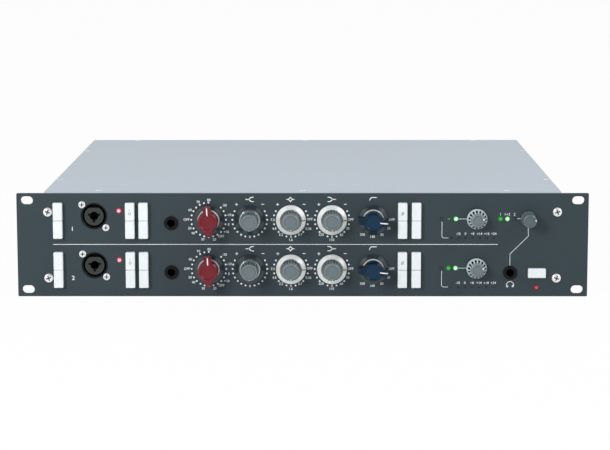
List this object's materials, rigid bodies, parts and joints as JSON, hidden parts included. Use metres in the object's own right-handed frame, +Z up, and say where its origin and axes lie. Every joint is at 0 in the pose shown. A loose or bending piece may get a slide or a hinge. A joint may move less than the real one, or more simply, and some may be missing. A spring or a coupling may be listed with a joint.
{
  "type": "microphone preamp",
  "caption": "Two-channel rack microphone preamp with equaliser: slate front panel with dials, white buttons, sockets and lamps on a pale grey steel case.",
  "frame": {"origin": "middle of the four rack slots, on the rear face of the front panel", "axes": "+X to the right seen from the front, +Y into the rack, +Z up"},
  "size_m": [0.4826, 0.445, 0.0882],
  "materials": {
    "panel": "satin slate paint, fine texture",
    "case_sheet": "pale grey powder coat",
    "zinc": "bright zinc plate",
    "screw": "bright nickel plate",
    "socket": "black moulded plastic and metal shell",
    "lens": null,
    "control": "plated metal",
    "switch": "black plastic",
    "board": "green solder mask",
    "can": "drawn metal can",
    "supply": "taped winding and its board",
    "red_knob": "crimson moulded plastic on a dark skirt",
    "grey_knob": "grey moulded plastic",
    "ring": "turned and brushed",
    "blue_knob": "blue moulded plastic on a dark skirt",
    "cap": "white moulded plastic"
  },
  "bodies": {
    "case": {"front_panel": "panel", "chassis_tray": "case_sheet", "top_cover": "case_sheet", "rear_panel": "case_sheet", "panel_screws": "screw", "cover_screws": "screw", "connector_screws": "screw", "combo_sockets": "socket", "jack_sockets": "socket", "led_lenses": "lens", "rotary_bodies": "control", "switch_bodies": "switch", "control_board": "board", "channel_boards": "board", "audio_transformers": "can", "power_supply": "supply", "mains_inlet": "socket", "rear_inputs": "zinc", "rear_outputs": "zinc"},
    "gain_knob_1": {"gain_knob_1": "red_knob"},
    "hf_gain_knob_1": {"hf_gain_knob_1": "grey_knob"},
    "mf_gain_knob_1": {"mf_gain_knob_1": "grey_knob"},
    "mf_freq_ring_1": {"mf_freq_ring_1": "ring"},
    "lf_gain_knob_1": {"lf_gain_knob_1": "grey_knob"},
    "lf_freq_ring_1": {"lf_freq_ring_1": "ring"},
    "filter_knob_1": {"filter_knob_1": "blue_knob"},
    "level_plunger_1": {"level_plunger_1": "control"},
    "level_knob_1": {"level_knob_1": "grey_knob"},
    "button_1a_top": {"button_1a_top": "cap"},
    "button_1a_bottom": {"button_1a_bottom": "cap"},
    "button_1b_top": {"button_1b_top": "cap"},
    "button_1b_bottom": {"button_1b_bottom": "cap"},
    "button_1c_top": {"button_1c_top": "cap"},
    "button_1c_bottom": {"button_1c_bottom": "cap"},
    "button_1d_top": {"button_1d_top": "cap"},
    "button_1d_bottom": {"button_1d_bottom": "cap"},
    "button_1e_top": {"button_1e_top": "cap"},
    "button_1e_bottom": {"button_1e_bottom": "cap"},
    "gain_knob_2": {"gain_knob_2": "red_knob"},
    "hf_gain_knob_2": {"hf_gain_knob_2": "grey_knob"},
    "mf_gain_knob_2": {"mf_gain_knob_2": "grey_knob"},
    "mf_freq_ring_2": {"mf_freq_ring_2": "ring"},
    "lf_gain_knob_2": {"lf_gain_knob_2": "grey_knob"},
    "lf_freq_ring_2": {"lf_freq_ring_2": "ring"},
    "filter_knob_2": {"filter_knob_2": "blue_knob"},
    "level_plunger_2": {"level_plunger_2": "control"},
    "level_knob_2": {"level_knob_2": "grey_knob"},
    "button_2a_top": {"button_2a_top": "cap"},
    "button_2a_bottom": {"button_2a_bottom": "cap"},
    "button_2b_top": {"button_2b_top": "cap"},
    "button_2b_bottom": {"button_2b_bottom": "cap"},
    "button_2c_top": {"button_2c_top": "cap"},
    "button_2c_bottom": {"button_2c_bottom": "cap"},
    "button_2d_top": {"button_2d_top": "cap"},
    "button_2d_bottom": {"button_2d_bottom": "cap"},
    "button_2e_top": {"button_2e_top": "cap"},
    "button_2e_bottom": {"button_2e_bottom": "cap"},
    "volume_plunger": {"volume_plunger": "control"},
    "volume_knob": {"volume_knob": "grey_knob"},
    "power_button": {"power_button": "cap"}
  },
  "joints": [
    {"name": "gain_knob_1_turn", "type": "hinge", "parent": "case", "child": "gain_knob_1", "pos_m": [-0.0792, -0.003, 0.0216], "axis": [0, -1, 0], "range_deg": [0, 315]},
    {"name": "hf_gain_knob_1_turn", "type": "hinge", "parent": "case", "child": "hf_gain_knob_1", "pos_m": [-0.04445, -0.003, 0.0216], "axis": [0, -1, 0], "range_deg": [-140, 140]},
    {"name": "mf_gain_knob_1_turn", "type": "hinge", "parent": "case", "child": "mf_gain_knob_1", "pos_m": [-0.0097, -0.003, 0.0216], "axis": [0, -1, 0], "range_deg": [-140, 140]},
    {"name": "mf_freq_ring_1_turn", "type": "hinge", "parent": "case", "child": "mf_freq_ring_1", "pos_m": [-0.0097, -0.003, 0.0216], "axis": [0, -1, 0], "range_deg": [-180, 0]},
    {"name": "lf_gain_knob_1_turn", "type": "hinge", "parent": "case", "child": "lf_gain_knob_1", "pos_m": [0.02505, -0.003, 0.0216], "axis": [0, -1, 0], "range_deg": [-140, 140]},
    {"name": "lf_freq_ring_1_turn", "type": "hinge", "parent": "case", "child": "lf_freq_ring_1", "pos_m": [0.02505, -0.003, 0.0216], "axis": [0, -1, 0], "range_deg": [-120, 0]},
    {"name": "filter_knob_1_turn", "type": "hinge", "parent": "case", "child": "filter_knob_1", "pos_m": [0.0598, -0.003, 0.0216], "axis": [0, -1, 0], "range_deg": [-120, 0]},
    {"name": "level_knob_1_push", "type": "slide", "parent": "case", "child": "level_plunger_1", "axis": [0, 1, 0], "range_m": [0, 0.0012], "stiffness_N_per_m": 500, "springref_m": -0.0005},
    {"name": "level_knob_1_turn", "type": "hinge", "parent": "level_plunger_1", "child": "level_knob_1", "pos_m": [0.1473, -0.003, 0.0224], "axis": [0, -1, 0], "range_deg": [-72, 228]},
    {"name": "button_1a_top_press", "type": "slide", "parent": "case", "child": "button_1a_top", "axis": [0, 1, 0], "range_m": [0, 0.0025], "stiffness_N_per_m": 400, "springref_m": -0.0005},
    {"name": "button_1a_bottom_press", "type": "slide", "parent": "case", "child": "button_1a_bottom", "axis": [0, 1, 0], "range_m": [0, 0.0025], "stiffness_N_per_m": 400, "springref_m": -0.0005},
    {"name": "button_1b_top_press", "type": "slide", "parent": "case", "child": "button_1b_top", "axis": [0, 1, 0], "range_m": [0, 0.0025], "stiffness_N_per_m": 400, "springref_m": -0.0005},
    {"name": "button_1b_bottom_press", "type": "slide", "parent": "case", "child": "button_1b_bottom", "axis": [0, 1, 0], "range_m": [0, 0.0025], "stiffness_N_per_m": 400, "springref_m": -0.0005},
    {"name": "button_1c_top_press", "type": "slide", "parent": "case", "child": "button_1c_top", "axis": [0, 1, 0], "range_m": [0, 0.0025], "stiffness_N_per_m": 400, "springref_m": -0.0005},
    {"name": "button_1c_bottom_press", "type": "slide", "parent": "case", "child": "button_1c_bottom", "axis": [0, 1, 0], "range_m": [0, 0.0025], "stiffness_N_per_m": 400, "springref_m": -0.0005},
    {"name": "button_1d_top_press", "type": "slide", "parent": "case", "child": "button_1d_top", "axis": [0, 1, 0], "range_m": [0, 0.0025], "stiffness_N_per_m": 400, "springref_m": -0.0005},
    {"name": "button_1d_bottom_press", "type": "slide", "parent": "case", "child": "button_1d_bottom", "axis": [0, 1, 0], "range_m": [0, 0.0025], "stiffness_N_per_m": 400, "springref_m": -0.0005},
    {"name": "button_1e_top_press", "type": "slide", "parent": "case", "child": "button_1e_top", "axis": [0, 1, 0], "range_m": [0, 0.0025], "stiffness_N_per_m": 400, "springref_m": -0.0005},
    {"name": "button_1e_bottom_press", "type": "slide", "parent": "case", "child": "button_1e_bottom", "axis": [0, 1, 0], "range_m": [0, 0.0025], "stiffness_N_per_m": 400, "springref_m": -0.0005},
    {"name": "gain_knob_2_turn", "type": "hinge", "parent": "case", "child": "gain_knob_2", "pos_m": [-0.0792, -0.003, -0.0205], "axis": [0, -1, 0], "range_deg": [0, 315]},
    {"name": "hf_gain_knob_2_turn", "type": "hinge", "parent": "case", "child": "hf_gain_knob_2", "pos_m": [-0.04445, -0.003, -0.0205], "axis": [0, -1, 0], "range_deg": [-140, 140]},
    {"name": "mf_gain_knob_2_turn", "type": "hinge", "parent": "case", "child": "mf_gain_knob_2", "pos_m": [-0.0097, -0.003, -0.0205], "axis": [0, -1, 0], "range_deg": [-140, 140]},
    {"name": "mf_freq_ring_2_turn", "type": "hinge", "parent": "case", "child": "mf_freq_ring_2", "pos_m": [-0.0097, -0.003, -0.0205], "axis": [0, -1, 0], "range_deg": [-180, 0]},
    {"name": "lf_gain_knob_2_turn", "type": "hinge", "parent": "case", "child": "lf_gain_knob_2", "pos_m": [0.02505, -0.003, -0.0205], "axis": [0, -1, 0], "range_deg": [-140, 140]},
    {"name": "lf_freq_ring_2_turn", "type": "hinge", "parent": "case", "child": "lf_freq_ring_2", "pos_m": [0.02505, -0.003, -0.0205], "axis": [0, -1, 0], "range_deg": [-120, 0]},
    {"name": "filter_knob_2_turn", "type": "hinge", "parent": "case", "child": "filter_knob_2", "pos_m": [0.0598, -0.003, -0.0205], "axis": [0, -1, 0], "range_deg": [-120, 0]},
    {"name": "level_knob_2_push", "type": "slide", "parent": "case", "child": "level_plunger_2", "axis": [0, 1, 0], "range_m": [0, 0.0012], "stiffness_N_per_m": 500, "springref_m": -0.0005},
    {"name": "level_knob_2_turn", "type": "hinge", "parent": "level_plunger_2", "child": "level_knob_2", "pos_m": [0.1473, -0.003, -0.0197], "axis": [0, -1, 0], "range_deg": [-76, 224]},
    {"name": "button_2a_top_press", "type": "slide", "parent": "case", "child": "button_2a_top", "axis": [0, 1, 0], "range_m": [0, 0.0025], "stiffness_N_per_m": 400, "springref_m": -0.0005},
    {"name": "button_2a_bottom_press", "type": "slide", "parent": "case", "child": "button_2a_bottom", "axis": [0, 1, 0], "range_m": [0, 0.0025], "stiffness_N_per_m": 400, "springref_m": -0.0005},
    {"name": "button_2b_top_press", "type": "slide", "parent": "case", "child": "button_2b_top", "axis": [0, 1, 0], "range_m": [0, 0.0025], "stiffness_N_per_m": 400, "springref_m": -0.0005},
    {"name": "button_2b_bottom_press", "type": "slide", "parent": "case", "child": "button_2b_bottom", "axis": [0, 1, 0], "range_m": [0, 0.0025], "stiffness_N_per_m": 400, "springref_m": -0.0005},
    {"name": "button_2c_top_press", "type": "slide", "parent": "case", "child": "button_2c_top", "axis": [0, 1, 0], "range_m": [0, 0.0025], "stiffness_N_per_m": 400, "springref_m": -0.0005},
    {"name": "button_2c_bottom_press", "type": "slide", "parent": "case", "child": "button_2c_bottom", "axis": [0, 1, 0], "range_m": [0, 0.0025], "stiffness_N_per_m": 400, "springref_m": -0.0005},
    {"name": "button_2d_top_press", "type": "slide", "parent": "case", "child": "button_2d_top", "axis": [0, 1, 0], "range_m": [0, 0.0025], "stiffness_N_per_m": 400, "springref_m": -0.0005},
    {"name": "button_2d_bottom_press", "type": "slide", "parent": "case", "child": "button_2d_bottom", "axis": [0, 1, 0], "range_m": [0, 0.0025], "stiffness_N_per_m": 400, "springref_m": -0.0005},
    {"name": "button_2e_top_press", "type": "slide", "parent": "case", "child": "button_2e_top", "axis": [0, 1, 0], "range_m": [0, 0.0025], "stiffness_N_per_m": 400, "springref_m": -0.0005},
    {"name": "button_2e_bottom_press", "type": "slide", "parent": "case", "child": "button_2e_bottom", "axis": [0, 1, 0], "range_m": [0, 0.0025], "stiffness_N_per_m": 400, "springref_m": -0.0005},
    {"name": "volume_knob_push", "type": "slide", "parent": "case", "child": "volume_plunger", "axis": [0, 1, 0], "range_m": [0, 0.0012], "stiffness_N_per_m": 500, "springref_m": -0.0005},
    {"name": "volume_knob_turn", "type": "hinge", "parent": "volume_plunger", "child": "volume_knob", "pos_m": [0.1906, -0.003, 0.0226], "axis": [0, -1, 0], "range_deg": [-66, 234]},
    {"name": "power_button_press", "type": "slide", "parent": "case", "child": "power_button", "axis": [0, 1, 0], "range_m": [0, 0.0025], "stiffness_N_per_m": 600, "springref_m": -0.0005}
  ]
}
